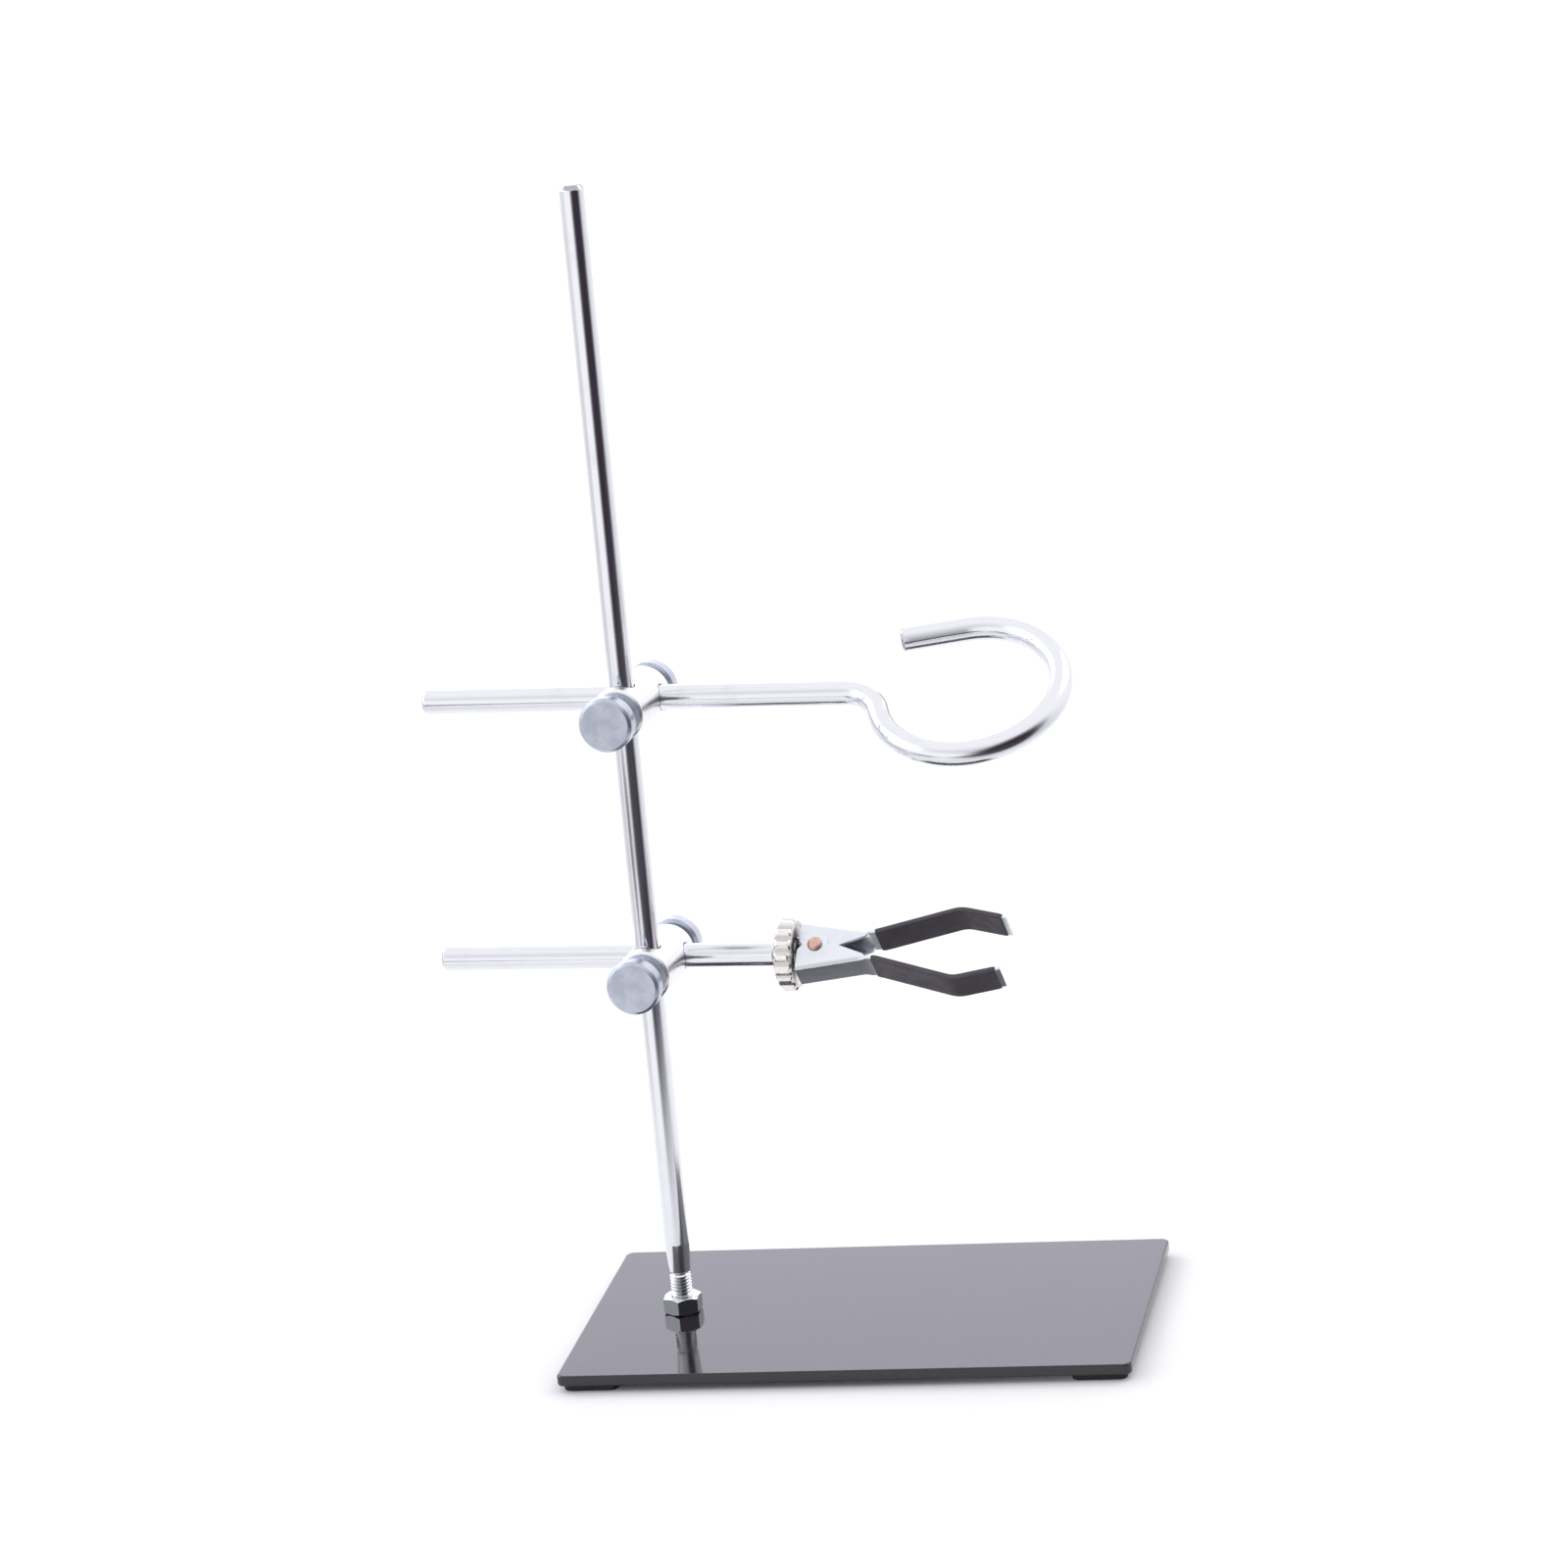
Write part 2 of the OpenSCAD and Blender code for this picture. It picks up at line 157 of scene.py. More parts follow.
# Shares of the pitch, and whether the thread is at its crest (0) or at its root (1) there
THREAD_FORM = ((0.0, 0), (0.14, 0), (0.5, 1), (0.64, 1))


def thread(radius, depth, pitch, low, high):
    """Lathe rows of a screw thread between two heights, chamfered at both ends."""
    rows = []
    root = radius - depth
    for turn in range(-1, math.ceil((high - low) / pitch) + 1):
        for share, sink in THREAD_FORM:
            def row(angle, base=low + (turn + share) * pitch, sink=sink):
                height = base + pitch * angle / TAU
                if height <= low:
                    return root, low
                if height >= high:
                    return root, high
                return min(radius - depth * sink, root + height - low, root + high - height), height
            rows.append(row)
    return rows


def tube(path, radii, sides=32):
    """Round bar along 3D points, with one radius per point and flat ends."""
    shell = bmesh.new()
    rings = []
    normal = None
    for i, point in enumerate(path):
        tangent = (path[min(i + 1, len(path) - 1)] - path[max(i - 1, 0)]).normalized()
        if normal is None:
            normal = tangent.orthogonal().normalized()
        normal = (normal - tangent * normal.dot(tangent)).normalized()
        across = tangent.cross(normal)
        rings.append([
            shell.verts.new(point + (normal * math.cos(a) + across * math.sin(a)) * radii[i])
            for a in even_angles(sides)[:-1]])
    for low, high in zip(rings, rings[1:]):
        for i in range(sides):
            shell.faces.new((low[i], low[(i + 1) % sides], high[(i + 1) % sides], high[i]))
    shell.faces.new(rings[0][::-1])
    shell.faces.new(rings[-1])
    return shell


def loft(loops, closed=False):
    """Solid through loops of 3D points that have the same length. closed joins the last loop
    to the first, otherwise both ends get a face."""
    shell = bmesh.new()
    rows = [[shell.verts.new(point) for point in loop] for loop in loops]
    count = len(rows[0])
    pairs = list(zip(rows, rows[1:])) + ([(rows[-1], rows[0])] if closed else [])
    for low, high in pairs:
        for i in range(count):
            shell.faces.new((low[i], low[(i + 1) % count], high[(i + 1) % count], high[i]))
    if not closed:
        shell.faces.new(rows[0][::-1])
        shell.faces.new(rows[-1])
    return shell


def inset(points, distance):
    """Closed convex outline moved inwards."""
    moved = []
    for i, point in enumerate(points):
        before = (point - points[i - 1]).normalized()
        after = (points[(i + 1) % len(points)] - point).normalized()
        inward = Vector((-before.y - after.y, before.x + after.x)).normalized()
        moved.append(point + inward * distance / max(0.3, inward.dot(Vector((-before.y, before.x)))))
    return moved


def slab(points, low, high, edge, steps=3):
    """Loops of a prism over a counter-clockwise outline, with rounded edges."""
    levels = []
    for k in range(steps + 1):
        angle = math.pi / 2 * k / steps
        levels.append((edge * (1 - math.sin(angle)), low + edge * (1 - math.cos(angle))))
    levels += [(step, low + high - height) for step, height in reversed(levels)]
    return [[(p.x, p.y, height) for p in inset(points, step)] for step, height in levels]


# ---------------------------------------------------------------- node materials


class Shader:
    """A Principled material that is put together from small steps."""

    def __init__(self, name, color, metallic, roughness):
        self.material = bpy.data.materials.new(name)
        self.material.use_nodes = True
        self.tree = self.material.node_tree
        self.surface = self.tree.nodes["Principled BSDF"]
        self.set("Base Color", (*color, 1))
        self.set("Metallic", metallic)
        self.set("Roughness", roughness)
        local = self.node("ShaderNodeAttribute", attribute_name="local")
        self.place = local.outputs["Vector"]
        self.color = self.constant_color(color)
        self.normal = None

    def set(self, socket, value):
        self.surface.inputs[socket].default_value = value

    def node(self, kind, **settings):
        made = self.tree.nodes.new(kind)
        for key, value in settings.items():
            setattr(made, key, value)
        return made

    def link(self, output, target):
        self.tree.links.new(output, target)

    def constant_color(self, color):
        made = self.node("ShaderNodeRGB")
        made.outputs[0].default_value = (*color, 1)
        return made.outputs[0]

    def stretched(self, scale):
        """The local place in millimetres, scaled by axis."""
        made = self.node("ShaderNodeMapping")
        made.inputs["Scale"].default_value = scale
        self.link(self.place, made.inputs["Vector"])
        return made.outputs["Vector"]

    def noise(self, scale, detail=3.0, rough=0.55, vector=None):
        """Noise whose scale is in waves per millimetre."""
        made = self.node("ShaderNodeTexNoise")
        made.inputs["Scale"].default_value = scale
        made.inputs["Detail"].default_value = detail
        made.inputs["Roughness"].default_value = rough
        self.link(vector or self.place, made.inputs["Vector"])
        return made.outputs["Fac"]

    def levels(self, value, low, high, to_low=0.0, to_high=1.0):
        made = self.node("ShaderNodeMapRange")
        made.interpolation_type = "SMOOTHSTEP"
        for socket, number in zip(("From Min", "From Max", "To Min", "To Max"),
                                  (low, high, to_low, to_high)):
            made.inputs[socket].default_value = number
        self.link(value, made.inputs["Value"])
        return made.outputs["Result"]

    def math(self, operation, first, second):
        made = self.node("ShaderNodeMath", operation=operation)
        for socket, value in zip(made.inputs, (first, second)):
            if isinstance(value, (int, float)):
                socket.default_value = value
            else:
                self.link(value, socket)
        return made.outputs[0]

    def tint(self, share, color):
        """Mixes a colour in by a share from 0 to 1."""
        made = self.node("ShaderNodeMix", data_type="RGBA")
        self.link(share, made.inputs["Factor"])
        self.link(self.color, made.inputs["A"])
        made.inputs["B"].default_value = (*color, 1)
        self.color = made.outputs["Result"]
        self.link(self.color, self.surface.inputs["Base Color"])

    def rough(self, value, low, high):
        """Roughness that follows a value from 0 to 1."""
        self.link(self.levels(value, 0.3, 0.7, low, high), self.surface.inputs["Roughness"])

    def bump(self, height, depth, strength=1.0):
        """Relief whose depth is in millimetres."""
        made = self.node("ShaderNodeBump")
        made.inputs["Strength"].default_value = strength
        made.inputs["Distance"].default_value = depth * MM
        self.link(height, made.inputs["Height"])
        if self.normal:
            self.link(self.normal, made.inputs["Normal"])
        self.normal = made.outputs["Normal"]
        self.link(self.normal, self.surface.inputs["Normal"])

    def radius(self):
        """Distance from the local Z axis, in millimetres."""
        flat = self.node("ShaderNodeVectorMath", operation="MULTIPLY")
        flat.inputs[1].default_value = (1, 1, 0)
        self.link(self.place, flat.inputs[0])
        length = self.node("ShaderNodeVectorMath", operation="LENGTH")
        self.link(flat.outputs["Vector"], length.inputs[0])
        return length.outputs["Value"]

def enamel():
    """Black gloss enamel: faint orange peel, dust and rubbed patches."""
    shader = Shader("black_enamel", (0.013, 0.012, 0.017), 0.0, 0.08)
    shader.set("IOR", 1.6)
    shader.rough(shader.noise(0.035, 4), 0.04, 0.13)
    shader.bump(shader.noise(0.55, 2), 0.004, 0.5)
    specks = shader.levels(shader.noise(2.6, 1), 0.74, 0.82)
    shader.tint(shader.math("MULTIPLY", specks, 0.35), (0.16, 0.16, 0.17))
    return shader.material


def pad_rubber():
    """Matt black rubber with a moulded grain."""
    shader = Shader("pad_rubber", (0.016, 0.016, 0.017), 0.0, 0.75)
    shader.rough(shader.noise(0.6), 0.62, 0.85)
    shader.tint(shader.levels(shader.noise(0.25, 4), 0.5, 0.8, 0, 0.5), (0.05, 0.048, 0.045))
    shader.bump(shader.noise(5.0, 2), 0.03)
    return shader.material


def chrome():
    """Bright chrome on drawn bar: draw marks along it, slight waves, haze, and greyer ends
    where the bar is ground."""
    shader = Shader("bright_chrome", (0.80, 0.81, 0.845), 1.0, 0.07)
    streaks = shader.noise(1.0, 3, vector=shader.stretched((2.2, 2.2, 0.03)))
    shader.rough(streaks, 0.1, 0.18)
    shader.bump(streaks, 0.001)
    shader.bump(shader.noise(0.06, 2), 0.02, 0.5)
    haze = shader.levels(shader.noise(0.09, 4), 0.52, 0.8, 0, 0.4)
    shader.tint(haze, (0.66, 0.66, 0.69))
    ground = shader.node("ShaderNodeAttribute", attribute_name="ground")
    shader.tint(ground.outputs["Fac"], (0.42, 0.44, 0.45))
    return shader.material


def screw_steel():
    """Zinc-plated turned steel."""
    shader = Shader("plated_screw_steel", (0.70, 0.71, 0.74), 1.0, 0.15)
    shader.rough(shader.noise(0.8), 0.1, 0.2)
    shader.tint(shader.levels(shader.noise(0.4, 4), 0.5, 0.8, 0, 0.3), (0.56, 0.56, 0.56))
    shader.bump(shader.noise(2.5, 2), 0.002)
    return shader.material


def boss_metal():
    """Satin chrome over a casting."""
    shader = Shader("satin_casting", (0.86, 0.865, 0.88), 1.0, 0.3)
    shader.rough(shader.noise(0.3, 3), 0.26, 0.36)
    shader.tint(shader.levels(shader.noise(0.12, 3), 0.5, 0.8, 0, 0.3), (0.76, 0.76, 0.78))
    shader.bump(shader.noise(0.25, 2), 0.008, 0.3)
    return shader.material


def knob_metal():
    """Satin nickel, turned: fine rings on the face, patches where fingers rub."""
    shader = Shader("turned_nickel", (0.54, 0.57, 0.65), 1.0, 0.3)
    rings = shader.node("ShaderNodeTexNoise", noise_dimensions="1D")
    rings.inputs["Scale"].default_value = 3.2
    rings.inputs["Detail"].default_value = 2
    shader.link(shader.radius(), rings.inputs["W"])
    patches = shader.noise(0.16, 3)
    shader.rough(patches, 0.24, 0.38)
    shader.tint(shader.levels(patches, 0.42, 0.64, 0, 0.6), (0.42, 0.45, 0.56))
    shader.bump(rings.outputs["Fac"], 0.003, 0.7)
    return shader.material


def nut_metal():
    """Warm nickel on a pressed nut, with painted shade in its flutes and over all of it nearer the
    middle.
    """
    shader = Shader("warm_nickel", (0.92, 0.90, 0.87), 1.0, 0.25)
    shader.rough(shader.noise(0.7, 3), 0.2, 0.34)
    # Painted shade: the colour darkens inside a radius of 12.3 mm, the depth of the flutes, and fades
    # out by 13 mm.
    shader.tint(shader.levels(shader.radius(), 12.3, 13.0, 0.55, 0), (0.4, 0.37, 0.35))
    shader.bump(shader.noise(0.9, 3), 0.01, 0.5)
    return shader.material


def jaw_metal():
    """Nickel-plated sheet with a rolling grain along the jaw."""
    shader = Shader("plated_sheet", (0.80, 0.825, 0.87), 1.0, 0.32)
    grain = shader.noise(1.0, 3, vector=shader.stretched((0.05, 1.6, 1.6)))
    shader.rough(grain, 0.28, 0.38)
    shader.tint(shader.levels(shader.noise(0.12, 3), 0.5, 0.8, 0, 0.3), (0.66, 0.68, 0.74))
    shader.bump(grain, 0.0008)
    shader.bump(shader.noise(0.12, 2), 0.02, 0.4)
    return shader.material


def spring_steel():
    """Drawn spring wire."""
    shader = Shader("drawn_wire", (0.42, 0.42, 0.45), 1.0, 0.3)
    shader.rough(shader.noise(2.0), 0.22, 0.4)
    shader.bump(shader.noise(3.0, 2), 0.004)
    return shader.material


def copper():
    """Copper rivet with hammer marks and painted shade on its rim."""
    shader = Shader("worn_copper", (0.70, 0.46, 0.40), 1.0, 0.4)
    shader.rough(shader.noise(1.6), 0.34, 0.5)
    # Painted shade: the head darkens from a radius of 1.9 mm out to its rim at 2.8 mm.
    shader.tint(shader.levels(shader.radius(), 1.9, 2.8, 0, 0.7), (0.36, 0.2, 0.17))
    shader.bump(shader.noise(0.9, 2), 0.08, 0.8)
    return shader.material


def sleeve_rubber():
    """Charcoal rubber tube: soft sheen, fine grain and bloom."""
    shader = Shader("sleeve_rubber", (0.064, 0.054, 0.068), 0.0, 0.5)
    shader.rough(shader.noise(0.3, 3), 0.42, 0.6)
    shader.tint(shader.levels(shader.noise(0.12, 4), 0.45, 0.75, 0, 0.6), (0.092, 0.08, 0.096))
    shader.bump(shader.noise(0.35, 2), 0.05, 0.5)
    shader.bump(shader.noise(4.5, 2), 0.012, 0.8)
    return shader.material


MATERIALS = {
    "base_paint": enamel(), "foot_rubber": pad_rubber(), "rod_chrome": chrome(),
    "screw_steel": screw_steel(), "boss_zinc": boss_metal(), "knob_nickel": knob_metal(),
    "nut_nickel": nut_metal(), "jaw_steel": jaw_metal(), "spring_steel": spring_steel(),
    "copper_rivet": copper(), "sleeve_rubber": sleeve_rubber(),
}

# ---------------------------------------------------------------- pieces


def finish_mesh(item, crease):
    """Smooth shading that keeps flat faces flat, with sharp edges above an angle in degrees."""
    item.data.polygons.foreach_set("use_smooth", [True] * len(item.data.polygons))
    item.data.set_sharp_from_angle(angle=math.radians(crease))
    normals = item.modifiers.new("flat_faces", "WEIGHTED_NORMAL")
    normals.weight = 100
    normals.keep_sharp = True


def close_mesh(shell, gap):
    """Merges points nearer than a gap, closes pinholes and turns all faces outwards."""
    bmesh.ops.remove_doubles(shell, verts=shell.verts, dist=gap)
    bmesh.ops.dissolve_degenerate(shell, edges=shell.edges, dist=gap / 10)
    bmesh.ops.holes_fill(shell, edges=shell.edges, sides=4)
    bmesh.ops.recalc_face_normals(shell, faces=shell.faces)


def make_piece(node, shell, place, crease=32, end_faces=None):
    """Puts a shape in millimetres at its frame, on the body of the CAD node that it replaces.
    Each point keeps its place in the shape as "local", and "ground" is 1 on a ground end."""
    close_mesh(shell, 1e-4)
    local = shell.verts.layers.float_vector.new("local")
    ground = shell.verts.layers.float.new("ground")
    for vert in shell.verts:
        vert[local] = vert.co
        vert[ground] = 1 if end_faces and end_faces(vert.co) else 0
    shell.transform(Matrix.Scale(MM, 4) @ place)
    mesh = bpy.data.meshes.new(node + "_piece")
    shell.to_mesh(mesh)
    shell.free()
    item = bpy.data.objects.new(node + "_piece", mesh)
    bpy.context.collection.objects.link(item)
    mesh.materials.append(MATERIALS[SLOT_OF[node]])
    finish_mesh(item, crease)
    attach(item, BODY_OF[node])
    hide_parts(node)
    return item


# Base

PLATE_CORNER = 3
PLATE_EDGE = 0.7
PAD_EDGE = 0.5
STUD_R = 3.95
STUD_THREAD_DEPTH = 0.62
STUD_CORE_R = STUD_R - STUD_THREAD_DEPTH
STUD_PITCH = 1.25
HOLE_R = STUD_R + 0.05
hole_centre = UPRIGHT.translation


def rectangle(low, high, corner, steps=6):
    """Counter-clockwise outline with rounded corners."""
    return outline((low.x, low.y, corner), (high.x, low.y, corner), (high.x, high.y, corner),
                   (low.x, high.y, corner), steps=steps, closed=True)


def base_plate():
    """Plate with rounded edges and a hole for the rod's stud."""
    corners = rectangle(plate_low, plate_high, PLATE_CORNER)
    shell = loft(slab(corners, plate_low.z, PLATE_TOP, PLATE_EDGE))
    caps = [face for face in shell.faces if len(face.verts) > 4]
    hole_rims = []
    for cap in caps:
        height = cap.verts[0].co.z
        outer_edges = list(cap.edges)
        shell.faces.remove(cap)
        rim = [shell.verts.new((hole_centre.x + HOLE_R * math.cos(a),
                                hole_centre.y + HOLE_R * math.sin(a), height))
               for a in even_angles(48)[:-1]]
        hole_edges = [shell.edges.new((rim[i - 1], rim[i])) for i in range(len(rim))]
        bmesh.ops.triangle_fill(shell, edges=outer_edges + hole_edges, use_beauty=True)
        hole_rims.append(rim)
    lower, upper = hole_rims
    for i in range(len(lower)):
        shell.faces.new((lower[i - 1], lower[i], upper[i], upper[i - 1]))
    make_piece("base_plate", shell, Matrix.Identity(4))


def foot(node):
    """One rubber pad under the plate."""
    low, high = box_mm(node)
    shell = loft(slab(rectangle(low, high, PLATE_CORNER), low.z, high.z, PAD_EDGE))
    make_piece(node, shell, Matrix.Identity(4))


NUT_FLATS = 13
NUT_TURN = math.radians(28)
NUT_BEVEL = math.tan(math.radians(30))
NUT_BORE_R = STUD_R + 0.5
NUT_BORE_DEPTH = 0.45
NUT_BORE_CHAMFER = 0.3
HEX_SIDE = math.radians(60)


def lock_nut():
    """Hex nut with a bevel at both ends, turned about Z from rows that shrink to the flats."""
    low, high = box_mm("base_lock_nut")
    height = high.z - low.z
    corner = NUT_FLATS / math.sqrt(3)
    end_face_r = NUT_FLATS / 2 - 0.35

    def hexagon(angle, radius, level):
        if radius < NUT_BORE_R + 0.1:
            return radius
        flat = NUT_FLATS / 2 / math.cos((angle - NUT_TURN) % HEX_SIDE - HEX_SIDE / 2)
        cone = end_face_r + min(level, height - level) / NUT_BEVEL
        return min(flat, cone, radius)

    rows = [(corner, height * k / 60) for k in range(61)]
    bore = thread(NUT_BORE_R, NUT_BORE_DEPTH, STUD_PITCH, NUT_BORE_CHAMFER, height - NUT_BORE_CHAMFER)
    rows += [(NUT_BORE_R, height)] + bore[::-1] + [(NUT_BORE_R, 0)]
    angles = [NUT_TURN + angle for angle in even_angles(96)]
    shell = lathe(rows, angles, hexagon, loop=True)
    make_piece("base_lock_nut", shell, Matrix.Translation((*hole_centre.xy, low.z)), crease=24)


ROD_R = (rod_high.x - rod_low.x) / 2
STUD_TOP = 16
STUD_RUNOUT = 0.8
TAPER_LENGTH = 11
CAP_HEIGHT = 1.6
CAP_SLOPE = 1.3


def upright_rod():
    """Rod on a threaded stud, with a taper above the stud and a rounded cap."""
    bottom = rod_low.z - PLATE_TOP
    top = rod_high.z - PLATE_TOP
    thread_top = STUD_TOP - STUD_RUNOUT
    rows = [(0, bottom), (STUD_CORE_R - 0.03, bottom)]
    rows += thread(STUD_R, STUD_THREAD_DEPTH, STUD_PITCH, bottom + 0.01, thread_top)
    rows += outline((STUD_CORE_R, thread_top), (STUD_CORE_R, STUD_TOP - 0.5, 0.2),
                    (STUD_R, STUD_TOP, 0.5), (ROD_R, STUD_TOP + TAPER_LENGTH, 8),
                    (ROD_R, top - CAP_HEIGHT, 1.2), (ROD_R - CAP_SLOPE, top, 0.9),
                    (ROD_R - 2.4, top), (0, top))
    make_piece("upright_rod", lathe(rows, 72), UPRIGHT, end_faces=lambda co: co.z > top - 1.5)


# Boss heads, thumb screws and knobs

BOSS_R = 9.8
BORE_GAP = 18
BOSS_END = 9
BOSS_CHAMFER = 0.9
BOSS_EDGE = 0.3
BORE_CLEARANCE = 0.35
CUTTER_REACH = 15
KNOB_R = 10
KNOB_THICKNESS = 7
KNOB_CHAMFER = 1.1
ROD_KNOB_GAP = 7.5
RING_KNOB_GAP = 2.5
CLAMP_KNOB_GAP = 4
HUB_R = 5.5
HUB_LENGTH = 1.5
KNOB_SOCKET = 5
SCREW_R = 3
SCREW_THREAD_DEPTH = 0.5
SCREW_PITCH = 1
SCREW_CORE_R = SCREW_R - SCREW_THREAD_DEPTH
TIP_GAP = 0.3


def cutter(place, radius, low, high):
    """Cylinder that only serves to cut a hole."""
    shell = lathe([(0, low), (radius, low), (radius, high), (0, high)], 96)
    bmesh.ops.remove_doubles(shell, verts=shell.verts, dist=1e-4)
    bmesh.ops.recalc_face_normals(shell, faces=shell.faces)
    shell.transform(Matrix.Scale(MM, 4) @ place)
    mesh = bpy.data.meshes.new("cutter")
    shell.to_mesh(mesh)
    shell.free()
    item = bpy.data.objects.new("cutter", mesh)
    bpy.context.collection.objects.link(item)
    return item


def apply_modifiers(item):
    """Applies the modifiers, then cleans up what they leave along their cuts."""
    finished = item.evaluated_get(bpy.context.evaluated_depsgraph_get())
    made = bpy.data.meshes.new_from_object(finished)
    item.modifiers.clear()
    shell = bmesh.new()
    shell.from_mesh(made)
    nearly_flat = math.radians(0.4)
    bmesh.ops.dissolve_limit(shell, angle_limit=nearly_flat, verts=shell.verts, edges=shell.edges)
    close_mesh(shell, 0.03 * MM)
    bmesh.ops.triangulate(shell, faces=[face for face in shell.faces if len(face.verts) > 4])
    shell.to_mesh(made)
    shell.free()
    old = item.data
    item.data = made
    made.name = old.name
    bpy.data.meshes.remove(old)


def boss_body(node, arm_frame, arm_r):
    """Cross-drilled cylinder. The arm frame has X along the arm and Y to the back."""
    back = arm_frame.col[1].to_3d()
    centre = arm_frame.translation - back * BORE_GAP
    spin = along(centre, back)
    back_end = BORE_GAP + BOSS_END
    face_r = BOSS_R - BOSS_CHAMFER
    rows = outline((0, -BOSS_END), (face_r, -BOSS_END, 0.5), (BOSS_R, BOSS_CHAMFER - BOSS_END, 0.5),
                   (BOSS_R, back_end - BOSS_CHAMFER, 0.5), (face_r, back_end, 0.5), (0, back_end))
    item = make_piece(node, lathe(rows, 96), spin)
    rod_bore = along(centre, Vector((0, 0, 1)))
    arm_bore = along(arm_frame.translation, arm_frame.col[0].to_3d())
    screw_hole_r = SCREW_R + 0.05
    cutters = [
        cutter(rod_bore, ROD_R + BORE_CLEARANCE, -CUTTER_REACH, CUTTER_REACH),
        cutter(arm_bore, arm_r + BORE_CLEARANCE, -CUTTER_REACH, CUTTER_REACH),
        cutter(spin, screw_hole_r, -BOSS_END - 1, 0),
        cutter(spin, screw_hole_r, BORE_GAP, back_end + 1),
    ]
    item.modifiers.clear()
    for tool in cutters:
        cut = item.modifiers.new("cut", "BOOLEAN")
        cut.object = tool
        cut.operation = "DIFFERENCE"
        cut.solver = "EXACT"
    apply_modifiers(item)
    bevel = item.modifiers.new("bevel", "BEVEL")
    bevel.width = BOSS_EDGE * MM
    bevel.segments = 2
    bevel.limit_method = "ANGLE"
    bevel.angle_limit = math.radians(35)
    apply_modifiers(item)
    for tool in cutters:
        bpy.data.objects.remove(tool)
    finish_mesh(item, 35)


def thumb_screw(node, seat, gap, bar_r):
    """Threaded shank; the seat frame has Z out of the boss, from the end of its body."""
    tip = bar_r + TIP_GAP - BOSS_END
    thread_end = gap - HUB_LENGTH
    rows = [(0, tip), (SCREW_CORE_R - 0.25, tip)]
    rows += thread(SCREW_R, SCREW_THREAD_DEPTH, SCREW_PITCH, tip + 0.02, thread_end)
    rows += [(SCREW_CORE_R, thread_end), (SCREW_CORE_R, gap + KNOB_SOCKET), (0, gap + KNOB_SOCKET)]
    make_piece(node, lathe(rows, 48), seat)


def knob(node, seat, gap):
    """Knob with a hub and a blind socket; gap is from the boss to the knob's near side."""
    top = gap + KNOB_THICKNESS
    hub = gap - HUB_LENGTH
    face_r = KNOB_R - KNOB_CHAMFER
    socket_r = SCREW_CORE_R + 0.05
    rows = outline((socket_r, hub), (HUB_R - 0.2, hub, 0.3), (HUB_R, gap - 0.1, 0.4),
                   (face_r, gap + 0.15, 0.5), (KNOB_R, gap + KNOB_CHAMFER, 0.6),
                   (KNOB_R, top - KNOB_CHAMFER, 0.6), (face_r, top, 0.5), (0, top))
    rows += [(0, gap + KNOB_SOCKET), (socket_r, gap + KNOB_SOCKET)]
    make_piece(node, lathe(rows, 96, loop=True), seat)


def boss_head(kind, arm_frame, rod_gap, arm_gap, arm_r):
    """The body, both thumb screws and both knobs of one boss head."""
    boss_body(kind + "_boss_body", arm_frame, arm_r)
    back = arm_frame.col[1].to_3d()
    front_seat = along(arm_frame.translation - back * (BORE_GAP + BOSS_END), -back)
    back_seat = along(arm_frame.translation + back * BOSS_END, back)
    thumb_screw(kind + "_rod_screw", front_seat, rod_gap, ROD_R)
    knob(kind + "_rod_knob", front_seat, rod_gap)
    thumb_screw(kind + "_arm_screw", back_seat, arm_gap, arm_r)
    knob(kind + "_arm_knob", back_seat, arm_gap)


# Ring arm

RING_WIRE_R = 4.5
RING_LEFT = 82.5
RING_STEM = 78
RING_R = 33.3
RING_BEND_R = 16
RING_END = math.radians(102)
RING_TAIL = 23.5
RING_TILT = math.radians(28.4)
BAR_CHAMFER = 0.9
BAR_END = ((0, BAR_CHAMFER), (0.15, 0.62), (0.5, 0.33), (0.85, 0.1), (1.2, 0))


def ring_arm():
    """Straight stem, a bend back, the open ring and its tail, in the stem's own frame. BAR_END
    gives the runs from an end and how much thinner the bar is there."""
    bend_turn = math.asin(RING_BEND_R / (RING_R + RING_BEND_R))
    centre = RING_STEM + math.sqrt((RING_R + RING_BEND_R) ** 2 - RING_BEND_R ** 2)
    path = [Vector((run - RING_LEFT, 0, 0)) for run, shrink in BAR_END]
    radii = [RING_WIRE_R - shrink for run, shrink in BAR_END]
    path += [Vector((x, 0, 0)) for x in range(-78, RING_STEM, 6)]
    for k in range(25):
        angle = math.pi / 2 - (math.pi / 2 - bend_turn) * k / 24
        path.append(Vector((RING_STEM + RING_BEND_R * math.cos(angle),
                            RING_BEND_R * (math.sin(angle) - 1), 0)))
    start = math.pi + bend_turn
    sweep = math.pi + RING_END - bend_turn
    for k in range(1, 97):
        angle = start + sweep * k / 96
        path.append(Vector((centre + RING_R * math.cos(angle), RING_R * math.sin(angle), 0)))
    tail_way = Vector((-math.sin(RING_END), math.cos(RING_END), 0))
    tail_start = path[-1].copy()
    path += [tail_start + tail_way * run for run in (4, 8, 12, 16, 20)]
    radii += [RING_WIRE_R] * (len(path) - len(radii))
    for run, shrink in reversed(BAR_END):
        path.append(tail_start + tail_way * (RING_TAIL - run))
        radii.append(RING_WIRE_R - shrink)
    tail_end = path[-1]
    make_piece("ring_arm", tube(path, radii, 40), RING_ARM @ Matrix.Rotation(RING_TILT, 4, "X"),
               end_faces=lambda co: co.x < 0.5 - RING_LEFT or (co - tail_end).length < RING_WIRE_R)


# Clamp arm and its nut

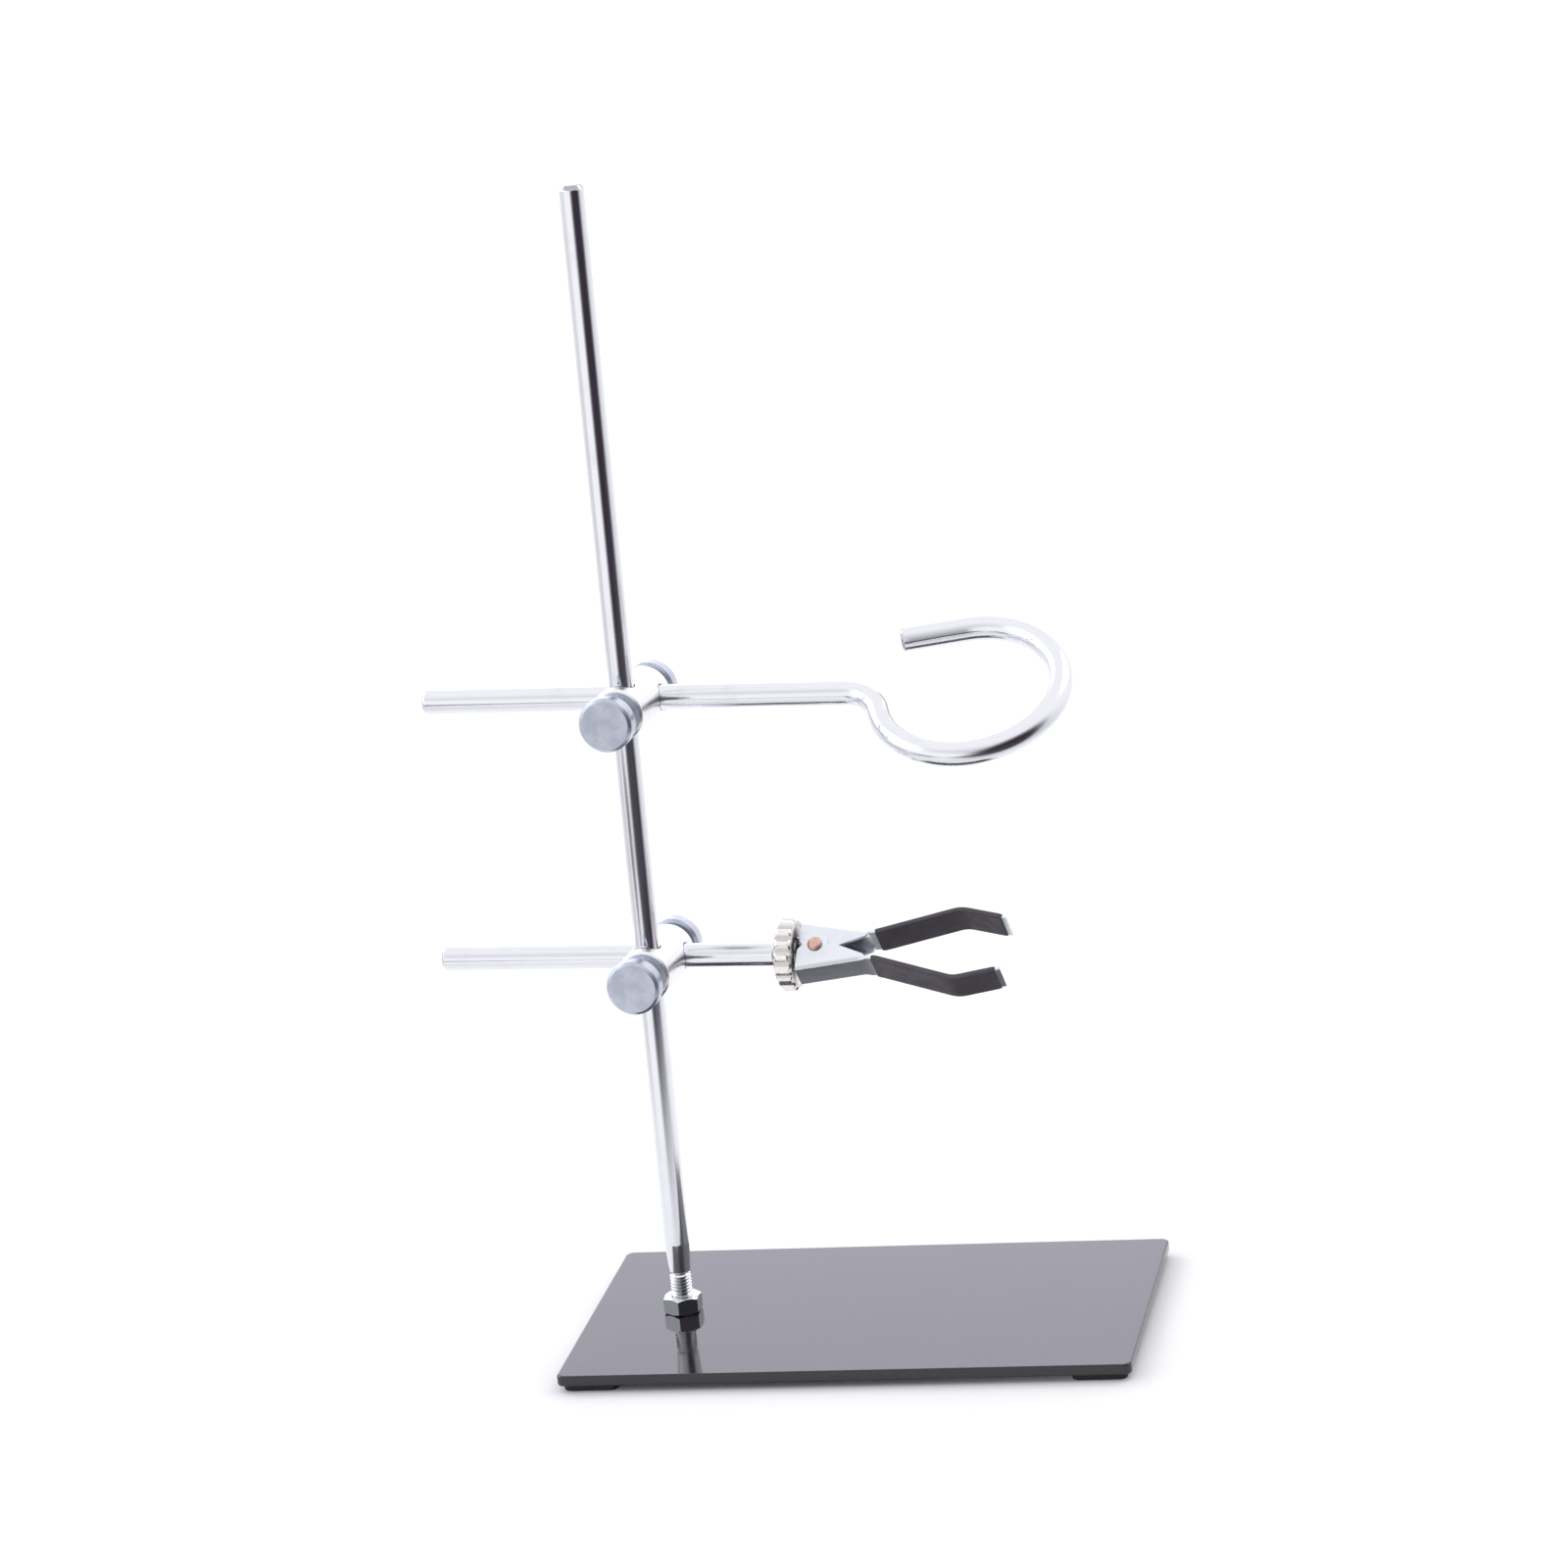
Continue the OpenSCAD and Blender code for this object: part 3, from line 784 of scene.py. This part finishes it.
CLAMP_ARM_R = 4.5
CLAMP_LEFT = 85
THREAD_END = RIVET_REACH - 7
THREAD_START = THREAD_END - 9
TAIL_X = -6.5
NUT_R = 13.5
NUT_THICKNESS = 6.7
NUT_FRONT = RIVET_REACH + TAIL_X - 1.1
FLUTES = 16
FLUTE_R = 2.1
FLUTE_DEPTH = 1.2


def clamp_arm():
    """Bar with a chamfered left end and a thinner threaded right end."""
    spin = along(CLAMP_ARM.translation, clamp_axis)
    rows = outline((0, -CLAMP_LEFT), (CLAMP_ARM_R - BAR_CHAMFER, -CLAMP_LEFT, 0.35),
                   (CLAMP_ARM_R, BAR_CHAMFER - CLAMP_LEFT, 0.35),
                   (CLAMP_ARM_R, THREAD_START - 0.8, 0.3), (STUD_CORE_R, THREAD_START))
    rows += thread(STUD_R, STUD_THREAD_DEPTH, STUD_PITCH, THREAD_START, THREAD_END - 0.02)
    rows += [(STUD_CORE_R - 0.08, THREAD_END), (0, THREAD_END)]
    make_piece("clamp_arm", lathe(rows, 72), spin, end_faces=lambda co: co.z < 0.6 - CLAMP_LEFT)


def clamp_nut():
    """Round nut with flutes in its rim and a shallow ring sunk in its front."""
    spin = along(CLAMP_ARM.translation, clamp_axis)
    back = NUT_FRONT - NUT_THICKNESS
    centre = NUT_R - FLUTE_DEPTH + FLUTE_R
    pitch = TAU / FLUTES

    def fluted(angle, radius, level):
        if radius < NUT_R - FLUTE_DEPTH - 0.3:
            return radius
        offset = (angle + pitch / 2) % pitch - pitch / 2
        reach = FLUTE_R ** 2 - (centre * math.sin(offset)) ** 2
        if reach <= 0:
            return radius
        wall = centre * math.cos(offset) - math.sqrt(reach)
        return radius - max(0, radius - wall) * min(1, (NUT_R - wall) / 0.25)

    rows = outline((STUD_R + 0.05, back), (NUT_R - 1.5, back, 0.6), (NUT_R, back + 1.1, 0.8),
                   (NUT_R, NUT_FRONT - 1.1, 0.8), (NUT_R - 1.5, NUT_FRONT, 0.6),
                   (11, NUT_FRONT, 0.3), (10.4, NUT_FRONT - 0.5, 0.3), (6.2, NUT_FRONT - 0.5, 0.3),
                   (5.6, NUT_FRONT, 0.3), (STUD_R + 0.05, NUT_FRONT), steps=3)
    shell = lathe(rows, FLUTES * 20, fluted, loop=True)
    make_piece("clamp_nut", shell, spin, crease=40)


# Clamp head: tongue, rivet, springs

RIVET_R = 1.9
RIVET_HEAD_R = 2.75
RIVET_HEAD = 1.1
SHEET = 1.2
JAW_WIDTH = 13
OUTER_FLANGE = (JAW_WIDTH + SHEET + 0.2) / 2
TONGUE_HALF_WIDTH = 2.4
TONGUE_HALF_HEIGHT = 3.2


def clamp_tongue():
    """Flat block on the end of the arm, round at the front, that carries the rivet."""
    rear = THREAD_END + 0.1 - RIVET_REACH
    nose = [Vector((TONGUE_HALF_HEIGHT * math.cos(a), TONGUE_HALF_HEIGHT * math.sin(a)))
            for a in (math.pi * (k / 12 - 0.5) for k in range(13))]
    points = [Vector((rear, -TONGUE_HALF_HEIGHT))] + nose + [Vector((rear, TONGUE_HALF_HEIGHT))]
    loops = slab(points, -TONGUE_HALF_WIDTH, TONGUE_HALF_WIDTH, 0.4)
    make_piece("clamp_tongue", loft(loops), HEAD @ Matrix.Rotation(math.pi / 2, 4, "X"))


def jaw_rivet():
    """Pin with a domed head on both sides."""
    half = OUTER_FLANGE + 0.1
    head = outline((RIVET_R, half), (RIVET_HEAD_R, half, 0.1), (RIVET_HEAD_R, half + 0.45, 0.3),
                   (RIVET_HEAD_R * 0.6, half + RIVET_HEAD, 0.8), (0, half + RIVET_HEAD))
    rows = [(r, -h) for r, h in reversed(head)] + [tuple(p) for p in head]
    make_piece("jaw_rivet", lathe(rows, 48), HEAD @ Matrix.Rotation(-math.pi / 2, 4, "X"))


SPRING_WIRE_R = 0.3
SPRING_COIL_R = 3.2
SPRING_TURNS = 1.5
SPRING_PITCH = 0.72
SPRING_LEG = 13


def spring_path():
    """Middle of the wire of one spring: a leg, the coil beside the tongue, the other leg."""
    near = TONGUE_HALF_WIDTH + 0.15 + SPRING_WIRE_R
    steps = 60
    path = [Vector((SPRING_LEG * (1 - k / 6), near, -SPRING_COIL_R)) for k in range(6)]
    for k in range(steps + 1):
        angle = -math.pi / 2 - SPRING_TURNS * TAU * k / steps
        side = near + SPRING_PITCH * SPRING_TURNS * k / steps
        path.append(Vector((SPRING_COIL_R * math.cos(angle), side, SPRING_COIL_R * math.sin(angle))))
    end = path[-1]
    return path + [Vector((SPRING_LEG * k / 6, end.y, SPRING_COIL_R)) for k in range(1, 7)]


def jaw_spring():
    """Both springs as one piece, mirrored about the tongue."""
    path = spring_path()
    both = tube(path, [SPRING_WIRE_R] * len(path), 12)
    other = tube([Vector((p.x, -p.y, p.z)) for p in path], [SPRING_WIRE_R] * len(path), 12)
    mirrored = bpy.data.meshes.new("other_spring")
    other.to_mesh(mirrored)
    other.free()
    both.from_mesh(mirrored)
    bpy.data.meshes.remove(mirrored)
    make_piece("jaw_spring", both, HEAD)


# Jaws and sleeves

TAIL_RISE = 10.4
NECK = Vector((21, 6))
BEND = Vector((53, 15.3))
TIP = Vector((70.5, 11.4))
JAW_LINE = outline((TAIL_X, TAIL_RISE), (*NECK, 14), (*BEND, 11), tuple(TIP), steps=10)
LUG_R = 4.8
LUG_TURNS = [math.pi * k / 16 for k in range(17)]
FLANGE_RISE = 8.4
FLANGE_END = NECK.x - 1.6
FLANGE_LINE = [(TAIL_X, 2)]
FLANGE_LINE += [(-LUG_R * math.cos(turn), -LUG_R * math.sin(turn)) for turn in LUG_TURNS]
FLANGE_LINE += [(FLANGE_RISE, 0.2), (FLANGE_END, NECK.y - SHEET - 0.4)]
FULL_FLANGE = 3
CHANNEL_BEND_R = 1.7
STRIP_EDGE_R = 0.35
SLEEVE_START = 21.7
SLEEVE_END = TIP.x - 1.8
SLEEVE_WALL = 0.5
SLEEVE_END_WALL = 0.38
SLEEVE_FIT = 0.03


def line_at(x):
    """Point of the jaw's outer line at x."""
    for start, end in zip(JAW_LINE, JAW_LINE[1:]):
        if x <= end.x + 1e-9:
            break
    share = (x - start.x) / (end.x - start.x)
    return start.lerp(end, share)


def line_normal(x):
    """Unit vector from the outer line into the jaw's gap, in the X-Z plane."""
    step = line_at(min(x + 0.3, TIP.x)) - line_at(max(x - 0.3, TAIL_X))
    return Vector((step.y, -step.x)).normalized()


def flange_bottom(x):
    """Height of the flange's lower edge, or none where the jaw is a plain strip."""
    if x > FLANGE_END:
        return None
    for start, end in zip(FLANGE_LINE, FLANGE_LINE[1:]):
        if x <= end[0] + 1e-9:
            break
    share = (x - start[0]) / (end[0] - start[0])
    return start[1] + (end[1] - start[1]) * share


def channel_section(near, far, depth):
    """Outline of the bent channel, 40 points."""
    share = min(1, (depth - SHEET) / (FULL_FLANGE - SHEET))
    bend = STRIP_EDGE_R + (CHANNEL_BEND_R - STRIP_EDGE_R) * share
    inner = max(bend - SHEET, 0.15)
    edge = 0.2
    roof = -SHEET - 0.02
    return outline((near, -depth, edge), (near, 0, bend), (far, 0, bend), (far, -depth, edge),
                   (far - SHEET, -depth, edge), (far - SHEET, roof, inner),
                   (near + SHEET, roof, inner), (near + SHEET, -depth, edge), closed=True)


def strip_section(near, far):
    """Outline of the flat strip, with as many points as the channel."""
    points = outline((near, -SHEET, 0.3), (near, 0, STRIP_EDGE_R), (far, 0, STRIP_EDGE_R),
                     (far, -SHEET, 0.3), closed=True)
    return points + [Vector((far + (near - far) * k / 21, -SHEET)) for k in range(1, 21)]


def jaw_section(x):
    """Cross-section of a jaw at x: a channel at the rear, a flat strip in front."""
    top = line_at(x)
    bottom = flange_bottom(x)
    if bottom is None:
        way, depth = line_normal(x), SHEET
    else:
        way, depth = Vector((0, -1)), top.y - bottom
    near, far = OUTER_FLANGE - JAW_WIDTH, OUTER_FLANGE
    flat = depth < SHEET + 0.9
    points = strip_section(near, far) if flat else channel_section(near, far, depth)
    return [Vector((top.x - way.x * p.y, p.x, top.y - way.y * p.y)) for p in points]


def jaw(node, place):
    """Jaw through cross-sections that stand close together where its outline turns."""
    xs = [TAIL_X, -5.6] + [-LUG_R * math.cos(turn) for turn in LUG_TURNS] + [6, 7.2, FLANGE_RISE]
    xs += [FLANGE_RISE + (FLANGE_END - FLANGE_RISE) * k / 10 for k in range(1, 11)]
    xs += [p.x for p in JAW_LINE if p.x > xs[-1] + 0.2]
    loops = [jaw_section(x) for x in sorted({round(x, 4) for x in xs})]
    make_piece(node, loft(loops), place, crease=34)


def sleeve(node, place):
    """Rubber tube that follows the flat strip of a jaw, open at both ends."""
    xs = [SLEEVE_START + (SLEEVE_END - SLEEVE_START) * k / 48 for k in range(49)]

    def ring(x, grow, corner):
        """Loop around the strip at x, a distance outside it."""
        top = line_at(x)
        normal = line_normal(x)
        near, far = OUTER_FLANGE - JAW_WIDTH - grow, OUTER_FLANGE + grow
        points = outline((near, -SHEET - grow, corner), (near, grow, corner), (far, grow, corner),
                         (far, -SHEET - grow, corner), steps=5, closed=True)
        return [Vector((top.x - normal.x * p.y, p.x, top.y - normal.y * p.y)) for p in points]

    walls = [SLEEVE_END_WALL] + [SLEEVE_WALL] * (len(xs) - 2) + [SLEEVE_END_WALL]
    outer = [ring(x, wall, 0.75) for x, wall in zip(xs, walls)]
    inner = [ring(x, SLEEVE_FIT, 0.36) for x in reversed(xs)]
    make_piece(node, loft(outer + inner, closed=True), place, crease=40)


FLIP = Matrix.Rotation(math.pi, 4, "X")

base_plate()
for corner_name in ("front_left", "front_right", "rear_left", "rear_right"):
    foot("foot_" + corner_name)
lock_nut()
upright_rod()
boss_head("ring", RING_ARM, ROD_KNOB_GAP, RING_KNOB_GAP, RING_WIRE_R)
boss_head("clamp", CLAMP_ARM, ROD_KNOB_GAP, CLAMP_KNOB_GAP, CLAMP_ARM_R)
ring_arm()
clamp_arm()
clamp_nut()
clamp_tongue()
jaw_rivet()
jaw_spring()
jaw("upper_jaw", HEAD)
jaw("lower_jaw", HEAD @ FLIP)
sleeve("upper_sleeve", HEAD)
sleeve("lower_sleeve", HEAD @ FLIP)

# ---------------------------------------------------------------- floor, light, camera


def fading_sheet(name, middle, reach, fade, color):
    """Sheet on the ground whose colour fades out towards an ellipse; reach is its half-size."""
    mesh = bpy.data.meshes.new(name)
    mesh.from_pydata([(-1, -1, 0), (1, -1, 0), (1, 1, 0), (-1, 1, 0)], [], [(0, 1, 2, 3)])
    item = bpy.data.objects.new(name, mesh)
    item.location = middle
    item.scale = (*reach, 1)
    bpy.context.collection.objects.link(item)
    paint = bpy.data.materials.new(name)
    paint.use_nodes = True
    tree = paint.node_tree
    surface = tree.nodes["Principled BSDF"]
    surface.inputs["Base Color"].default_value = (*color, 1)
    surface.inputs["Roughness"].default_value = 0.8
    place = tree.nodes.new("ShaderNodeTexCoord").outputs["Object"]
    distance = tree.nodes.new("ShaderNodeVectorMath")
    distance.operation = "LENGTH"
    tree.links.new(place, distance.inputs[0])
    alpha = tree.nodes.new("ShaderNodeMapRange")
    alpha.interpolation_type = "SMOOTHSTEP"
    for socket, value in zip(("From Min", "From Max", "To Min", "To Max"), (fade, 1, 1, 0)):
        alpha.inputs[socket].default_value = value
    tree.links.new(distance.outputs["Value"], alpha.inputs["Value"])
    tree.links.new(alpha.outputs["Result"], surface.inputs["Alpha"])
    mesh.materials.append(paint)
    return item


def direction(azimuth, elevation):
    """Unit vector; azimuth 0 points to the front and grows towards the right, in degrees."""
    turn, rise = math.radians(azimuth), math.radians(elevation)
    return Vector((math.sin(turn) * math.cos(rise), -math.cos(turn) * math.cos(rise), math.sin(rise)))


CAMERA_SIDE = 11.307
FRONT_GREY = (0.62, 0.62, 0.66)
SEEN_WHITE = (1.05, 1.05, 1.05)
# Centre of a lobe, the angles in degrees up to which it is full and beyond which it is gone,
# and its colour: overhead and behind, low left, high left, backdrop, and the dark side.
LOBES = (
    (direction(180, 50), 60, 130, (1.08, 1.08, 1.1)),
    (direction(CAMERA_SIDE - 45, -8), 14, 46, (1.12, 1.12, 1.13)),
    (direction(-77, 22), 8, 34, (1.7, 1.75, 1.85)),
    (direction(CAMERA_SIDE + 176, 5), 6, 32, (1.95, 1.93, 2.2)),
    (direction(CAMERA_SIDE + 27, -6), 20, 52, (0.045, 0.034, 0.052)),
)


def studio_world():
    """Grey surround with lobes blended in one after the other; the camera itself sees white."""
    world = bpy.data.worlds.new("studio")
    bpy.context.scene.world = world
    world.use_nodes = True
    tree = world.node_tree
    place = tree.nodes.new("ShaderNodeTexCoord").outputs["Generated"]
    surround = tree.nodes.new("ShaderNodeRGB")
    surround.outputs[0].default_value = (*FRONT_GREY, 1)
    color = surround.outputs[0]
    for axis, inner, outer, inside in LOBES:
        dot = tree.nodes.new("ShaderNodeVectorMath")
        dot.operation = "DOT_PRODUCT"
        dot.inputs[1].default_value = axis
        tree.links.new(place, dot.inputs[0])
        ramp = tree.nodes.new("ShaderNodeMapRange")
        ramp.interpolation_type = "SMOOTHSTEP"
        ramp.inputs["From Min"].default_value = math.cos(math.radians(outer))
        ramp.inputs["From Max"].default_value = math.cos(math.radians(inner))
        tree.links.new(dot.outputs["Value"], ramp.inputs["Value"])
        mix = tree.nodes.new("ShaderNodeMix")
        mix.data_type = "RGBA"
        tree.links.new(ramp.outputs["Result"], mix.inputs["Factor"])
        tree.links.new(color, mix.inputs["A"])
        mix.inputs["B"].default_value = (*inside, 1)
        color = mix.outputs["Result"]
    seen = tree.nodes.new("ShaderNodeLightPath")
    final = tree.nodes.new("ShaderNodeMix")
    final.data_type = "RGBA"
    final.inputs["B"].default_value = (*SEEN_WHITE, 1)
    tree.links.new(seen.outputs["Is Camera Ray"], final.inputs["Factor"])
    tree.links.new(color, final.inputs["A"])
    tree.links.new(final.outputs["Result"], tree.nodes["Background"].inputs["Color"])


def softbox(name, place, target, size, power):
    """Round area light that faces a target."""
    light = bpy.data.lights.new(name, "AREA")
    light.shape = "DISK"
    light.size = size
    light.energy = power
    item = bpy.data.objects.new(name, light)
    item.location = place
    item.rotation_euler = (Vector(target) - Vector(place)).to_track_quat("-Z", "Y").to_euler()
    bpy.context.collection.objects.link(item)


CAMERA_AZIMUTH = math.radians(-CAMERA_SIDE)
CAMERA_PITCH = math.radians(14.509)
CAMERA_ROLL = math.radians(-5.314)
CAMERA_DISTANCE = 1.944
CAMERA_LENS = 123.56
AIM_RIGHT_OF_ROD = 56.4
AIM_ABOVE_PLATE = 201


def camera():
    """Camera to the right of the front, looking down and rolled a little, as in the photo."""
    target = Vector((hole_centre.x + AIM_RIGHT_OF_ROD, 0, PLATE_TOP + AIM_ABOVE_PLATE)) * MM
    forward = Vector((math.sin(CAMERA_AZIMUTH) * math.cos(CAMERA_PITCH),
                      math.cos(CAMERA_AZIMUTH) * math.cos(CAMERA_PITCH), -math.sin(CAMERA_PITCH)))
    level = Vector((math.cos(CAMERA_AZIMUTH), -math.sin(CAMERA_AZIMUTH), 0))
    level_up = level.cross(forward)
    right = level * math.cos(CAMERA_ROLL) + level_up * math.sin(CAMERA_ROLL)
    up = right.cross(forward)
    lens = bpy.data.cameras.new("camera")
    lens.lens = CAMERA_LENS
    lens.sensor_width = 36
    lens.clip_end = 50
    item = bpy.data.objects.new("camera", lens)
    item.matrix_world = axes_at(target - forward * CAMERA_DISTANCE, right, up)
    bpy.context.collection.objects.link(item)
    bpy.context.scene.camera = item


fading_sheet("pale_floor", (0, 0.15, 0), (0.58, 0.58), 0.3, (0.86, 0.86, 0.865))
dark_card = fading_sheet("dark_card", (0.45, -0.72, 0), (0.85, 0.34), 0.6, (0.03, 0.025, 0.035))
dark_card.visible_camera = False
grey_card = fading_sheet("grey_card", (-0.5, -0.56, 0), (0.34, 0.3), 0.4, (0.1, 0.1, 0.12))
grey_card.visible_camera = False
studio_world()
softbox("key", (-1.3, 0.8, 1.2), (0, 0, 0.2), 0.9, 7)
softbox("fill", (0.9, 0.7, 1.3), (0, 0, 0.2), 0.9, 3)
camera()
bpy.context.scene.view_settings.view_transform = "Standard"
